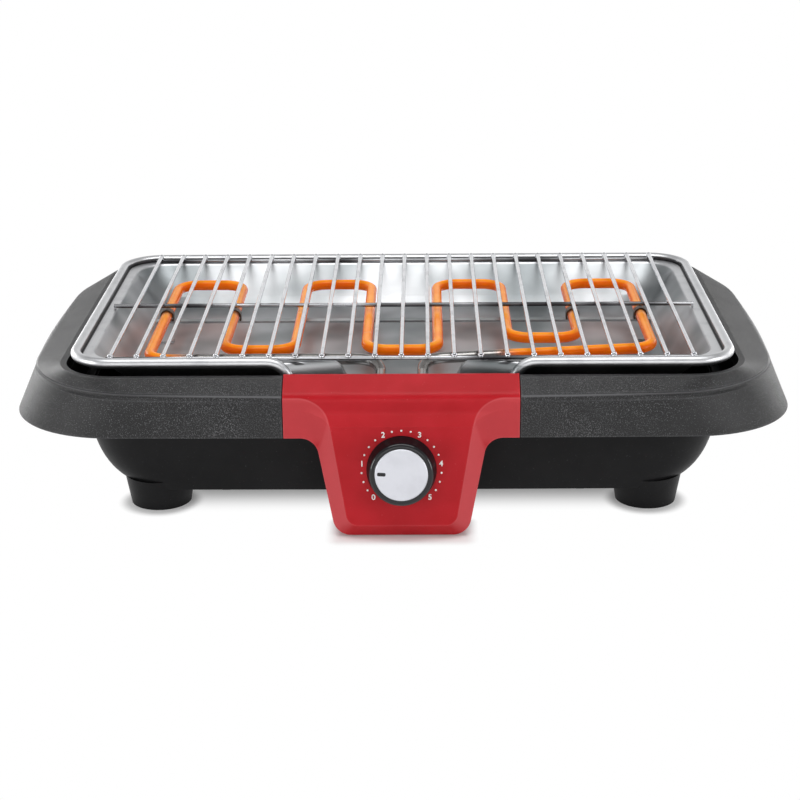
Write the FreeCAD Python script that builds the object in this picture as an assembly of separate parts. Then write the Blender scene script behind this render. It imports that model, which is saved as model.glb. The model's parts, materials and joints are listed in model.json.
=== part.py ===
import FreeCAD, Part
import math
import os
from FreeCAD import Vector

# Table-top electric grill. Millimetres, +Z up, +X to the right seen from the front.
# The origin is on the table under the middle of the whole grill, the control panel faces -Y.

# Shared values
overrun = 5.0               # how far every cutting tool passes the face that it cuts
running_gap = 0.05          # radial play of the dial shaft
seat_gap = 0.3              # play between pieces that lift apart
flat_bow = 20000.0          # bow radius of a side that is all but straight

# Heights of the base
tub_clearance = 16.5        # table to the underside of the tub
tub_depth = 55.5
skirt_overhang = 6.0        # how far the skirt hangs below the top of the tub
skirt_height = 28.0         # skirt edge to the crease round the frame
shoulder_rise = 9.0         # crease to the top edge of the frame
tub_top_z = tub_clearance + tub_depth
skirt_z = tub_top_z - skirt_overhang
crease_z = skirt_z + skirt_height
frame_top_z = crease_z + shoulder_rise

# Mouth of the well in the frame, the main size that the other outlines are set out from
well_half_x = 222.5
well_half_y = 139.5
well_corner = 34.0

# Frame with the two carrying wings
skirt_reach_x = 40.5        # edge of the skirt past the mouth of the well
skirt_reach_y = 17.0
skirt_corner = 72.0
skirt_bow_x = 1500.0        # bow radius of the sides
skirt_bow_y = flat_bow      # front and back are all but straight
crease_reach_x = 29.5
crease_reach_y = 18.5
crease_corner = 86.0
crease_bow_x = 850.0
crease_bow_y = 1000.0
crease_skirt_share = 0.12   # where the rounding of the crease starts on the skirt
crease_shoulder_share = 0.15
crease_shares = (0.0, 0.25, 0.5, 0.75, 1.0)
frame_wall = 3.0
collar_wall = 3.0
land_width = 4.5            # flat round the mouth of the well
boss_reach = 18.5           # screw boss past the mouth of the well
boss_y = 72.0
boss_radius = 5.0
boss_height = 15.0
skirt_half_x = well_half_x + skirt_reach_x
skirt_half_y = well_half_y + skirt_reach_y
crease_half_x = well_half_x + crease_reach_x
crease_half_y = well_half_y + crease_reach_y
boss_x = well_half_x + boss_reach

# Lower tub
tub_inset_x = 2.2           # side of the tub inside the mouth of the well
tub_inset_y = 12.5
tub_corner = 40.0
tub_bow_x = 1200.0
tub_bow_y = flat_bow
tub_wall = 3.0
tub_flange = 3.0
tub_height_shares = (1.0, 0.5, 0.17, 0.0)
tub_inset_shares = (0.0, 0.24, 0.56, 1.0)
tub_tuck_x = 30.0           # how far the flat bottom lies inside the top outline
tub_tuck_y = 4.0
ear_half_width = 10.0
hook_width = 5.0
hook_drop = 4.5
hook_length = 11.0
post_inset_x = 100.5        # posts under the tray, in from the sides of the tub
post_inset_y = 65.0
post_half_length = 16.0
post_thickness = 3.0
tub_half_x = well_half_x - tub_inset_x
tub_half_y = well_half_y - tub_inset_y
post_x = tub_half_x - post_inset_x
post_y = tub_half_y - post_inset_y
hook_x = post_x

# Feet
foot_inset_x = 55.0         # foot centre in from the sides of the tub
foot_inset_y = 26.5
foot_radius = 20.3
foot_top_radius = 23.8
foot_height = 22.0
pad_radius = 15.0
pad_thickness = 3.0
pad_proud = 1.0
foot_x = tub_half_x - foot_inset_x
foot_y = tub_half_y - foot_inset_y

# Screws
screw_radius = 1.6
screw_head_radius = 3.4
screw_head = 2.4
screw_length = 14.0

# Drip tray
rim_inset_x = 6.0           # centre line of the rolled rim inside the mouth of the well
rim_inset_y = 10.5
rim_corner = 27.0
bead_radius = 3.5
bead_rise = 0.9             # bead centre above the flange
tray_rise = 4.4             # flange above the top edge of the frame
flange_width = 9.5
tray_depth = 27.4
tray_sheet = 1.2
tray_draft = 22.0
tray_floor_bevel = 6.0
dip_drop = 20.0
dip_outer_top = 88.0        # half width of the spout at the rolled rim, top and bottom
dip_outer_low = 60.0
dip_inner_top = 50.0
dip_inner_low = 26.0
rim_half_x = well_half_x - rim_inset_x
rim_half_y = well_half_y - rim_inset_y
flange_z = frame_top_z + tray_rise
bead_z = flange_z + bead_rise
tray_under_z = flange_z - tray_depth
tray_mouth_x = rim_half_x - flange_width
tray_mouth_y = rim_half_y - flange_width
tray_mouth_corner = rim_corner - flange_width / 2

# Heating element
tube_radius = 3.75
leg_count = 8
leg_inset = 37.0           # outer leg in from the mouth of the tray
loop_bend = 15.0
loop_back_inset = 40.5      # loops and lead run in from the mouth of the tray
loop_front_inset = 37.5
short_loop = 26.0           # right front loop shorter than the others
lead_run_inset = 18.5
lead_slant = 22.0           # right lead run leans back towards its leg
lead_drop = 4.35            # leads step down over the spout
lead_level_inset = 11.0     # where the leads run level again, in from the rolled rim
lead_bend = 8.0
lead_x = 14.0
lead_gap = 2.6              # grate wire to the top of the tube
terminal_radius = 1.5
terminal_length = 4.0
lead_tail = 2.0             # tube end inside the rear cover
bar_y = 1.0
bar_width = 6.0
bar_sheet = 1.5
bar_foot = 12.0
bar_reach = 8.0             # bar end past the outer leg
clip_sheet = 1.0
clip_width = 6.0
clip_count = 2              # legs held by saddles on each side
leg_pitch = 2 * (tray_mouth_x - leg_inset) / (leg_count - 1)
loop_back_y = tray_mouth_y - loop_back_inset
loop_front_y = tray_mouth_y - loop_front_inset
lead_run_y = tray_mouth_y - lead_run_inset

# Grate
rod_count = 23
rod_radius = 1.5
wire_radius = 1.5
weld_depth = 0.3
rod_front_inset = 3.0       # rod ends inside the rolled rim
rod_back_inset = 6.0
wire_inset = 3.0            # end wires in from the rod ends
wire_end_inset = 9.0        # ends of the middle wire inside the rolled rim
wire_step = 14.0            # end wires shorter than the middle one, each side
rod_side_inset = 17.4       # outer rod in from the end of the middle wire
rod_front_y = rod_front_inset - rim_half_y
rod_back_y = rim_half_y - rod_back_inset
wire_half_length = rim_half_x - wire_end_inset
end_wire_half = wire_half_length - wire_step
rod_pitch = 2 * (wire_half_length - rod_side_inset) / (rod_count - 1)
wire_z = flange_z + seat_gap + wire_radius
rod_z = wire_z + wire_radius + rod_radius - weld_depth
tube_z = wire_z - wire_radius - lead_gap - tube_radius
lead_z = tube_z - lead_drop
lead_level_y = rim_half_y - lead_level_inset

# Control panel
panel_half_x = 76.0
panel_gap = 0.6             # gap to the frame on each side
panel_wall = 2.6
panel_top_rise = 1.5        # top edge above the frame
cover_inset = 5.5           # back of the rear cover inside the mouth of the well
cover_depth = 7.0
top_depth = 1.0             # top edge of the panel in front of the rear cover
face_lean = 11.0            # how far the face comes forward down to its foot
edge_back = 1.5             # outline behind the bevel, at the skirt and at the foot
edge_lean = 6.5
brow_back = 0.5             # brow of the panel behind the top of its face
brow_round = 8.0
waist_drop = 10.0           # crease down to the waist under the brow
waist_round = 14.0
join_drop = 19.0            # crease down to where the flat face begins
panel_foot_z = 1.0
face_foot_z = 10.0
leg_top_half = 55.5
leg_low_half = 43.0
face_top_half = 49.0
face_low_half = 35.0
leg_hollow = 12.0           # radius under the panel's shoulders
face_shoulder = 20.0
leg_corner = 12.0
face_corner = 8.0
panel_top_z = frame_top_z + panel_top_rise
cover_back_y = well_half_y - cover_inset
panel_back_y = cover_back_y + cover_depth
panel_top_y = panel_back_y + top_depth
face_top_y = crease_half_y
face_low_y = face_top_y + face_lean
edge_top_y = face_top_y - edge_back
edge_low_y = edge_top_y + edge_lean
cover_wall = 2.5
cover_step = 2.5            # top of the rear cover below the top of the panel
cover_screw_x = 30.0
cover_screw_low_z = 18.0
cover_screw_drop = 19.0     # upper screws below the top of the panel
gland_x = 24.0
gland_z = 30.0
gland_radius = 6.0
gland_bore = 3.6
gland_flange = 8.5
gland_length = 7.0
gland_lip = 0.5

# Thermostat and dial
dial_z = 47.0
thermostat_width = 30.0
thermostat_height = 26.0
thermostat_depth = 12.0
neck_radius = 5.0
shaft_radius = 3.0
shaft_tail = 8.0
knob_radius = 22.6
knob_nose_radius = 20.4
knob_height = 13.5
knob_round = 2.5
knob_gap = 0.5
knob_socket = 6.0
cap_radius = 17.0
cap_thickness = 1.6
cap_crown = 0.5
pointer_length = 5.4
pointer_width = 2.4
pointer_inset = 1.6
pointer_turn = 177.0        # degrees, where the pointer stands at rest seen from the front
block_half_x = 16.0
block_height = 14.0
block_depth = 10.0
block_z = 74.0


def outline(half_x, half_y, corner, bow_x, bow_y, z):
    """Level outline of four long bowed sides joined by corner arcs that are tangent to them.

    bow_x and bow_y are the radii of the sides that cross the X and the Y axis.
    """
    side = Vector(half_x - bow_x, 0, z)
    front = Vector(0, half_y - bow_y, z)
    to_side = bow_x - corner
    to_front = bow_y - corner
    across = front - side
    gap = across.Length
    along = (to_side ** 2 - to_front ** 2 + gap ** 2) / (2 * gap)
    height = math.sqrt(to_side ** 2 - along ** 2)
    unit = across / gap
    centre = side + unit * along + Vector(-unit.y, unit.x, 0) * height
    meets_side = side + (centre - side).normalize() * bow_x
    meets_front = front + (centre - front).normalize() * bow_y
    outward = ((meets_side - centre) + (meets_front - centre)).normalize()
    quarter = [meets_side, centre + outward * corner, meets_front]
    edges = []
    last = None
    first = None
    for flip_x, flip_y in ((1, 1), (-1, 1), (-1, -1), (1, -1)):
        arc = [Vector(p.x * flip_x, p.y * flip_y, z) for p in quarter]
        if flip_x * flip_y < 0:
            arc.reverse()
        if last is None:
            first = arc[0]
        else:
            edges.append(bowed_side(last, arc[0], half_x, half_y, z))
        edges.append(Part.Arc(*arc).toShape())
        last = arc[2]
    edges.append(bowed_side(last, first, half_x, half_y, z))
    return Part.Wire(edges)


def bowed_side(start, end, half_x, half_y, z):
    """Arc of one long side through its middle."""
    if start.x * end.x < 0:
        middle = Vector(0, math.copysign(half_y, start.y), z)
    else:
        middle = Vector(math.copysign(half_x, start.x), 0, z)
    return Part.Arc(start, middle, end).toShape()


def prism(wire, height):
    """Upright solid over a flat wire."""
    return Part.Face(wire).extrude(Vector(0, 0, height))


def block(low, high):
    """Box between two corners."""
    size = high - low
    return Part.makeBox(size.x, size.y, size.z, low)


def rounded(points, radii, closed=True):
    """Wire of straight runs through points, each corner rounded by its own radius."""
    count = len(points)
    starts = []
    ends = []
    mids = []
    for index in range(count):
        here = points[index]
        if radii[index] == 0:
            starts.append(here)
            ends.append(here)
            mids.append(None)
            continue
        back = (points[index - 1] - here).normalize()
        ahead = (points[(index + 1) % count] - here).normalize()
        half = back.getAngle(ahead) / 2
        setback = radii[index] / math.tan(half)
        inward = (back + ahead).normalize()
        centre = here + inward * (radii[index] / math.sin(half))
        starts.append(here + back * setback)
        ends.append(here + ahead * setback)
        mids.append(centre - inward * radii[index])
    edges = []
    for index in range(count):
        if mids[index] is not None:
            edges.append(Part.Arc(starts[index], mids[index], ends[index]).toShape())
        if closed or index < count - 1:
            edges.append(Part.LineSegment(ends[index], starts[(index + 1) % count]).toShape())
    return Part.Wire(edges)


def rounded_rectangle(half_x, half_y, radius, z):
    """Level rectangle with round corners."""
    corners = [Vector(half_x, half_y, z), Vector(-half_x, half_y, z)]
    corners += [Vector(-half_x, -half_y, z), Vector(half_x, -half_y, z)]
    return rounded(corners, [radius] * len(corners))


def pipe(path, radius):
    """Round bar carried along a path of runs and arcs."""
    start = path.OrderedEdges[0]
    at = start.valueAt(start.FirstParameter)
    along = start.tangentAt(start.FirstParameter)
    ring = Part.Face(Part.Wire(Part.makeCircle(radius, at, along)))
    return path.makePipe(ring)


def corner_places(x, y):
    """The four mirrored places of a point, by quarter."""
    return [Vector(-x, -y, 0), Vector(x, -y, 0), Vector(-x, y, 0), Vector(x, y, 0)]


def between(first, second, share):
    """Values that lie a share of the way from one list of sizes to another."""
    return [a + (b - a) * share for a, b in zip(first, second)]


def well_outline(grow, z):
    """Mouth of the well in the frame, grown all round."""
    return rounded_rectangle(well_half_x + grow, well_half_y + grow, well_corner + grow, z)


def frame_form(inset, drop, low_z):
    """Skirt, rounded crease and shoulder of the frame as one lofted solid."""
    skirt = [skirt_half_x - inset, skirt_half_y - inset, skirt_corner - inset, skirt_bow_x, skirt_bow_y,
             low_z]
    crease = [crease_half_x - inset, crease_half_y - inset, crease_corner - inset, crease_bow_x, crease_bow_y,
              crease_z - drop]
    top = [well_half_x + land_width, well_half_y + land_width, well_corner + land_width, flat_bow, flat_bow,
           frame_top_z - drop]
    below = between(crease, skirt, crease_skirt_share)
    above = between(crease, top, crease_shoulder_share)
    sections = [skirt]
    for share in crease_shares:
        sections.append(between(between(below, crease, share), between(crease, above, share), share))
    sections.append(top)
    return Part.makeLoft([outline(*sizes) for sizes in sections], True, True)


def notch():
    """Gap in the front of the base that takes the control unit."""
    half = panel_half_x + panel_gap
    low = Vector(-half, -skirt_half_y - skirt_half_x, -overrun)
    high = Vector(half, -cover_back_y + panel_gap, frame_top_z + skirt_half_x)
    return block(low, high)


def upper_frame():
    outer = frame_form(0, 0, skirt_z)
    shell = outer.cut(frame_form(frame_wall, frame_wall, skirt_z - overrun))
    collar = prism(well_outline(collar_wall, tub_top_z), frame_top_z - tub_top_z)
    bosses = [Part.makeCylinder(boss_radius, boss_height, at + Vector(0, 0, tub_top_z))
              for at in corner_places(boss_x, boss_y)]
    webs = []
    for at in corner_places(boss_x, boss_y):
        inner = math.copysign(well_half_x + collar_wall / 2, at.x)
        far = math.copysign(skirt_half_x, at.x)
        low = Vector(min(inner, far), at.y - frame_wall / 2, tub_top_z)
        high = Vector(max(inner, far), at.y + frame_wall / 2, tub_top_z + boss_height)
        webs.append(outer.common(block(low, high)))
    body = shell.fuse([collar] + bosses + webs)
    body = body.cut(prism(well_outline(0, -overrun), frame_top_z + skirt_half_x))
    holes = [Part.makeCylinder(screw_radius + running_gap, boss_height - frame_wall + overrun,
                               at + Vector(0, 0, tub_top_z - overrun))
             for at in corner_places(boss_x, boss_y)]
    return body.cut([notch()] + holes).removeSplitter()


def tub_form(inset, lift):
    """Bowl of the tub: a smooth loft that tucks in towards its flat bottom."""
    wires = []
    for height_share, inset_share in zip(tub_height_shares, tub_inset_shares):
        half_x = tub_half_x - inset - tub_tuck_x * inset_share
        half_y = tub_half_y - inset - tub_tuck_y * inset_share
        z = tub_clearance + lift + (tub_depth - lift) * height_share
        corner = tub_corner - inset - tub_tuck_y * inset_share
        wires.append(outline(half_x, half_y, corner, tub_bow_x, tub_bow_y, z))
    return Part.makeLoft(wires, True, False)


def lower_tub():
    flange = prism(well_outline(collar_wall, tub_top_z - tub_flange), tub_flange)
    ears = []
    for at in corner_places(boss_x, boss_y):
        inner = math.copysign(tub_half_x, at.x)
        outer = math.copysign(boss_x + boss_radius, at.x)
        low = Vector(min(inner, outer), at.y - ear_half_width, tub_top_z - tub_flange)
        high = Vector(max(inner, outer), at.y + ear_half_width, tub_top_z)
        ears.append(block(low, high))
    body = tub_form(0, 0).fuse([flange] + ears)
    hollow = tub_form(tub_wall, tub_wall)
    mouth = prism(outline(tub_half_x - tub_wall, tub_half_y - tub_wall, tub_corner - tub_wall,
                          tub_bow_x, tub_bow_y, tub_top_z - tub_flange), tub_flange + overrun)
    body = body.cut([hollow, mouth])
    floor_z = tub_clearance + tub_wall / 2
    posts = []
    for at in corner_places(post_x, post_y):
        across = Vector(post_half_length, post_thickness / 2, 0)
        along = Vector(post_thickness / 2, post_half_length, 0)
        for half in (across, along):
            low = at - half + Vector(0, 0, floor_z)
            posts.append(block(low, at + half + Vector(0, 0, tray_under_z)))
    hooks = []
    for side in (-1, 1):
        x = side * hook_x - hook_width / 2
        front_y = -(tub_half_y - tub_tuck_y) + hook_length
        under = tub_clearance + tub_wall / 2
        tip = tub_clearance - hook_drop
        profile = Part.makePolygon([Vector(x, front_y, under), Vector(x, front_y + hook_length, under),
                                    Vector(x, front_y + hook_length / 2, tip), Vector(x, front_y, tip),
                                    Vector(x, front_y, under)])
        hooks.append(Part.Face(profile).extrude(Vector(hook_width, 0, 0)))
    body = body.fuse(posts + hooks)
    holes = [Part.makeCylinder(screw_radius + running_gap, tub_flange + 2 * overrun,
                               at + Vector(0, 0, tub_top_z - tub_flange - overrun))
             for at in corner_places(boss_x, boss_y)]
    return body.cut([notch()] + holes).removeSplitter()


def foot(at):
    """Tapered foot whose head is shaped to the curve of the tub."""
    cone = Part.makeCone(foot_radius, foot_top_radius, foot_height - pad_proud, at + Vector(0, 0, pad_proud))
    pocket = Part.makeCylinder(pad_radius, pad_thickness, at)
    return cone.cut([tub_form(0, 0), pocket])


def foot_pads():
    pads = [Part.makeCylinder(pad_radius, pad_thickness, at) for at in corner_places(foot_x, foot_y)]
    return Part.makeCompound(pads)


def base_screws():
    screws = []
    for at in corner_places(boss_x, boss_y):
        under = at + Vector(0, 0, tub_top_z - tub_flange)
        shank = Part.makeCylinder(screw_radius, screw_length, under)
        head = Part.makeCone(screw_head_radius - screw_head / 2, screw_head_radius, screw_head,
                             under - Vector(0, 0, screw_head))
        screws.append(shank.fuse(head))
    return Part.makeCompound(screws)


def dip_line(top_half, low_half, y, z):
    """Level line across the front that swings down to the spout in the middle by two arcs a side."""
    run = top_half - low_half
    radius = (run ** 2 + dip_drop ** 2) / (4 * dip_drop)
    sweep = 2 * math.atan2(dip_drop, run)
    side = []
    for share in (0.0, 0.5, 1.0):
        side.append(Vector(top_half - radius * math.sin(sweep * share), y,
                           z - radius * (1 - math.cos(sweep * share))))
    for share in (0.5, 1.0):
        left = sweep * (1 - share)
        side.append(Vector(low_half + radius * math.sin(left), y,
                           z - dip_drop + radius * (1 - math.cos(left))))
    return side


def dip_edges(top_half, low_half, y, z, reach):
    """Edges of the dipped line from -reach to +reach."""
    right = dip_line(top_half, low_half, y, z)
    left = [Vector(-p.x, p.y, p.z) for p in right]
    edges = [Part.LineSegment(Vector(-reach, y, z), left[0]).toShape()]
    edges.append(Part.Arc(left[0], left[1], left[2]).toShape())
    edges.append(Part.Arc(left[2], left[3], left[4]).toShape())
    edges.append(Part.LineSegment(left[4], right[4]).toShape())
    edges.append(Part.Arc(right[4], right[3], right[2]).toShape())
    edges.append(Part.Arc(right[2], right[1], right[0]).toShape())
    edges.append(Part.LineSegment(right[0], Vector(reach, y, z)).toShape())
    return edges


def dip_face(top_half, low_half, y, reach):
    """Closed outline of the dipped flange, one sheet thick."""
    top = dip_edges(top_half, low_half, y, flange_z, reach)
    low = dip_edges(top_half, low_half, y, flange_z - tray_sheet, reach)
    down = Vector(0, 0, -tray_sheet)
    right = Vector(reach, y, flange_z)
    left = Vector(-reach, y, flange_z)
    ends = [Part.LineSegment(right, right + down).toShape(), Part.LineSegment(left + down, left).toShape()]
    return Part.Wire(Part.__sortEdges__(top + low + ends))


def tray_form(inset, lift):
    """Pan of the tray with drafted walls and a bevelled floor edge."""
    foot_share = tray_floor_bevel / tray_depth
    draft = tray_draft * (1 - foot_share)
    wires = [rounded_rectangle(tray_mouth_x - inset, tray_mouth_y - inset, tray_mouth_corner, flange_z),
             rounded_rectangle(tray_mouth_x - inset - draft, tray_mouth_y - inset - draft,
                               tray_mouth_corner, tray_under_z + tray_floor_bevel),
             rounded_rectangle(tray_mouth_x - inset - draft - tray_floor_bevel + lift / 2,
                               tray_mouth_y - inset - draft - tray_floor_bevel + lift / 2,
                               tray_mouth_corner, tray_under_z + lift)]
    return Part.makeLoft(wires, True, True)


def rim_path():
    """Centre line of the rolled rim: a rounded rectangle whose front dips into the spout."""
    y = rim_half_y
    x = rim_half_x
    r = rim_corner
    z = bead_z
    k = r * (1 - math.sqrt(2) / 2)
    edges = dip_edges(dip_outer_top, dip_outer_low, -y, z, x - r)
    edges.append(Part.Arc(Vector(x - r, -y, z), Vector(x - k, -y + k, z), Vector(x, -y + r, z)).toShape())
    edges.append(Part.LineSegment(Vector(x, -y + r, z), Vector(x, y - r, z)).toShape())
    edges.append(Part.Arc(Vector(x, y - r, z), Vector(x - k, y - k, z), Vector(x - r, y, z)).toShape())
    edges.append(Part.LineSegment(Vector(x - r, y, z), Vector(-x + r, y, z)).toShape())
    edges.append(Part.Arc(Vector(-x + r, y, z), Vector(-x + k, y - k, z), Vector(-x, y - r, z)).toShape())
    edges.append(Part.LineSegment(Vector(-x, y - r, z), Vector(-x, -y + r, z)).toShape())
    edges.append(Part.Arc(Vector(-x, -y + r, z), Vector(-x + k, -y + k, z), Vector(-x + r, -y, z)).toShape())
    return Part.Wire(edges)


def drip_tray():
    pan = tray_form(0, 0).cut(tray_form(tray_sheet, tray_sheet))
    plate = prism(rounded_rectangle(rim_half_x, rim_half_y, rim_corner, flange_z - tray_sheet), tray_sheet)
    mouth = prism(rounded_rectangle(tray_mouth_x - tray_sheet / 2, tray_mouth_y - tray_sheet / 2,
                                    tray_mouth_corner, flange_z - tray_sheet - overrun),
                  tray_sheet + 2 * overrun)
    flange = plate.cut(mouth)
    reach = dip_outer_top + overrun
    gap = block(Vector(-reach, -rim_half_y - overrun, flange_z - tray_depth / 2),
                Vector(reach, -tray_mouth_y + tray_sheet / 2, flange_z + overrun))
    flange = flange.cut(gap)
    spout = Part.makeLoft([dip_face(dip_outer_top, dip_outer_low, -rim_half_y, reach),
                           dip_face(dip_inner_top, dip_inner_low, -tray_mouth_y + tray_sheet / 2, reach)],
                          True, True)
    apron = Part.Face(dip_face(dip_inner_top, dip_inner_low, -tray_mouth_y + tray_sheet / 2, reach))
    apron = apron.extrude(Vector(0, tray_draft, 0)).cut(tray_form(tray_sheet, tray_sheet))
    lid_z = flange_z + overrun
    end = dip_inner_top + overrun
    y = -tray_mouth_y - overrun
    above = dip_edges(dip_inner_top, dip_inner_low, y, flange_z, end)
    sides = [Part.LineSegment(Vector(end, y, flange_z), Vector(end, y, lid_z)).toShape(),
             Part.LineSegment(Vector(end, y, lid_z), Vector(-end, y, lid_z)).toShape(),
             Part.LineSegment(Vector(-end, y, lid_z), Vector(-end, y, flange_z)).toShape()]
    throat = Part.Face(Part.Wire(above + sides)).extrude(Vector(0, tray_draft + 2 * overrun, 0))
    pan = pan.cut(throat)
    bead = pipe(rim_path(), bead_radius)
    return pan.fuse([flange, spout, apron, bead]).removeSplitter()


def leg_x(index):
    """Place of one straight leg of the element across the tray."""
    return (index - (leg_count - 1) / 2) * leg_pitch


def lead_end():
    """Place where the tube ends inside the rear cover."""
    return -cover_back_y - cover_wall - lead_tail


def lead_points(x):
    """One lead from its end in the rear cover, up from the level of the spout to the start of its run."""
    return [Vector(x, lead_end(), lead_z), Vector(x, -lead_level_y, lead_z), Vector(x, -lead_run_y, tube_z)]


def element_path():
    """Leads from the control unit, then legs joined by loops at the back and front in turn."""
    points = lead_points(-lead_x)
    points.append(Vector(leg_x(0), -lead_run_y, tube_z))
    for index in range(leg_count - 1):
        y = loop_back_y if index % 2 == 0 else -loop_front_y
        if y < 0 and leg_x(index) > leg_pitch:
            y += short_loop
        points.append(Vector(leg_x(index), y, tube_z))
        points.append(Vector(leg_x(index + 1), y, tube_z))
    points.append(Vector(leg_x(leg_count - 1), lead_slant - lead_run_y, tube_z))
    points += reversed(lead_points(lead_x))
    ends = [0, lead_bend]
    radii = ends + [loop_bend] * (len(points) - 2 * len(ends)) + list(reversed(ends))
    return rounded(points, radii, closed=False)


def heating_element():
    return pipe(element_path(), tube_radius)


def element_terminals():
    pins = []
    for side in (-1, 1):
        at = Vector(side * lead_x, lead_end(), lead_z)
        pins.append(Part.makeCylinder(terminal_radius, terminal_length, at, Vector(0, -1, 0)))
    return Part.makeCompound(pins)


def element_bar():
    """Bridge strip under the legs, standing on the floor of the tray."""
    top = tube_z - tube_radius
    half = leg_x(leg_count - 1) + bar_reach
    floor_z = tray_under_z + tray_sheet
    deck = block(Vector(-half, bar_y - bar_width / 2, top - bar_sheet),
                 Vector(half, bar_y + bar_width / 2, top))
    feet = []
    for side in (-1, 1):
        wall = (side * half, side * (half - bar_sheet))
        low = Vector(min(wall), bar_y - bar_width / 2, floor_z)
        high = Vector(max(wall), bar_y + bar_width / 2, top)
        feet.append(block(low, high))
        toe = (side * half, side * (half - bar_foot))
        low = Vector(min(toe), bar_y - bar_width / 2, floor_z)
        high = Vector(max(toe), bar_y + bar_width / 2, floor_z + bar_sheet)
        feet.append(block(low, high))
    return deck.fuse(feet).removeSplitter()


def element_clips():
    """Saddles that hold the legs down on the bridge strip."""
    clips = []
    outer_radius = tube_radius + clip_sheet
    held = list(range(clip_count))
    held += [leg_count - 1 - index for index in held]
    for index in held:
        at = Vector(leg_x(index), bar_y - clip_width / 2, tube_z)
        along = Vector(0, 1, 0)
        arch = Part.makeCylinder(outer_radius, clip_width, at, along)
        low = Vector(at.x - outer_radius, at.y, tube_z - tube_radius)
        skirt = block(low, Vector(at.x + outer_radius, at.y + clip_width, tube_z))
        bore = Part.makeCylinder(tube_radius + running_gap, clip_width + 2 * overrun,
                                 at - along * overrun, along)
        slot = block(Vector(at.x - tube_radius - running_gap, at.y - overrun, tube_z - tube_radius - overrun),
                     Vector(at.x + tube_radius + running_gap, at.y + clip_width + overrun, tube_z))
        reach = outer_radius + overrun
        floor = block(Vector(at.x - reach, at.y - overrun, tube_z - reach),
                      Vector(at.x + reach, at.y + clip_width + overrun, tube_z - tube_radius))
        clips.append(arch.fuse(skirt).cut([bore, slot, floor]).removeSplitter())
    return Part.makeCompound(clips)


def grate_rods():
    rods = []
    for index in range(rod_count):
        x = (index - (rod_count - 1) / 2) * rod_pitch
        rods.append(Part.makeCylinder(rod_radius, rod_back_y - rod_front_y, Vector(x, rod_front_y, rod_z),
                                      Vector(0, 1, 0)))
    return Part.makeCompound(rods)


def grate_wires():
    wires = []
    front_y = rod_front_y + wire_inset
    back_y = rod_back_y - wire_inset
    middle_y = (front_y + back_y) / 2
    for y, half in ((front_y, end_wire_half), (middle_y, wire_half_length), (back_y, end_wire_half)):
        wires.append(Part.makeCylinder(wire_radius, 2 * half, Vector(-half, y, wire_z), Vector(1, 0, 0)))
    return Part.makeCompound(wires)


def on_slope(z, top_z, top_y, low_z, low_y):
    """Front-to-back place on a leaning plane at height z."""
    return top_y + (low_y - top_y) * (top_z - z) / (top_z - low_z)


def edge_y(z):
    """Plane of the panel's outline behind the bevel."""
    return -on_slope(z, skirt_z, edge_top_y, panel_foot_z, edge_low_y)


def face_y(z):
    """Plane of the panel's front face."""
    return -on_slope(z, crease_z, face_top_y, face_foot_z, face_low_y)


def panel_outline(inset, place, shoulder_z, foot_z, top_half, low_half, shoulder_round, foot_round):
    """T-shaped outline: wide shoulders above a leg that narrows to its foot."""
    side = panel_half_x - inset
    top = panel_top_z + overrun
    corners = [(side, top), (side, shoulder_z + inset), (top_half - inset, shoulder_z + inset),
               (low_half - inset, foot_z + inset)]
    radii = [0, 0, shoulder_round + inset, foot_round - inset]
    corners += [(-x, z) for x, z in reversed(corners)]
    radii += list(reversed(radii))
    return rounded([Vector(x, place(z), z) for x, z in corners], radii)


def brow_line(inset):
    """Side view of the panel's top: a slope, a rounded brow and a shallow waist above the face."""
    brow_y = brow_back - face_top_y + inset
    fall = (panel_top_z - crease_z) / (face_top_y - panel_top_y)
    brow_z = panel_top_z - inset + fall * (brow_y + panel_top_y)
    join_z = crease_z - join_drop
    points = [Vector(0, -panel_top_y, panel_top_z - inset), Vector(0, brow_y, brow_z)]
    points += [Vector(0, brow_y, crease_z - waist_drop), Vector(0, face_y(join_z) + inset, join_z)]
    return points, [0, brow_round - inset, waist_round + inset, 0]


def panel_form(inset):
    """Panel with bevelled flanks, cut by the line of its brow and a flat back."""
    edge = panel_outline(inset, edge_y, skirt_z, panel_foot_z, leg_top_half, leg_low_half,
                         leg_hollow, leg_corner)
    face = panel_outline(inset, face_y, crease_z, face_foot_z, face_top_half, face_low_half,
                         face_shoulder, face_corner)
    edge.translate(Vector(0, inset, 0))
    face.translate(Vector(0, inset, 0))
    front = Part.makeLoft([edge, face], True, True)
    depth = skirt_half_y
    back = Part.Face(edge).extrude(Vector(0, depth, 0))
    solid = front.fuse(back)
    points, radii = brow_line(inset)
    points += [Vector(0, -face_top_y - depth, points[-1].z),
               Vector(0, -face_top_y - depth, panel_foot_z - depth),
               Vector(0, -panel_top_y + depth, panel_foot_z - depth),
               Vector(0, -panel_top_y + depth, points[0].z)]
    radii += [0] * (len(points) - len(radii))
    under = Part.Face(rounded(points, radii)).extrude(Vector(4 * panel_half_x, 0, 0))
    under.translate(Vector(-2 * panel_half_x, 0, 0))
    return solid.common(under)


def dial_out():
    """Direction of the dial's axis, out of the panel's face."""
    low = Vector(0, face_y(face_foot_z), face_foot_z)
    high = Vector(0, face_y(crease_z), crease_z)
    return Vector(1, 0, 0).cross(high - low).normalize()


def dial_foot():
    """Point where the dial's axis meets the panel's face."""
    return Vector(0, face_y(dial_z), dial_z)


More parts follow.
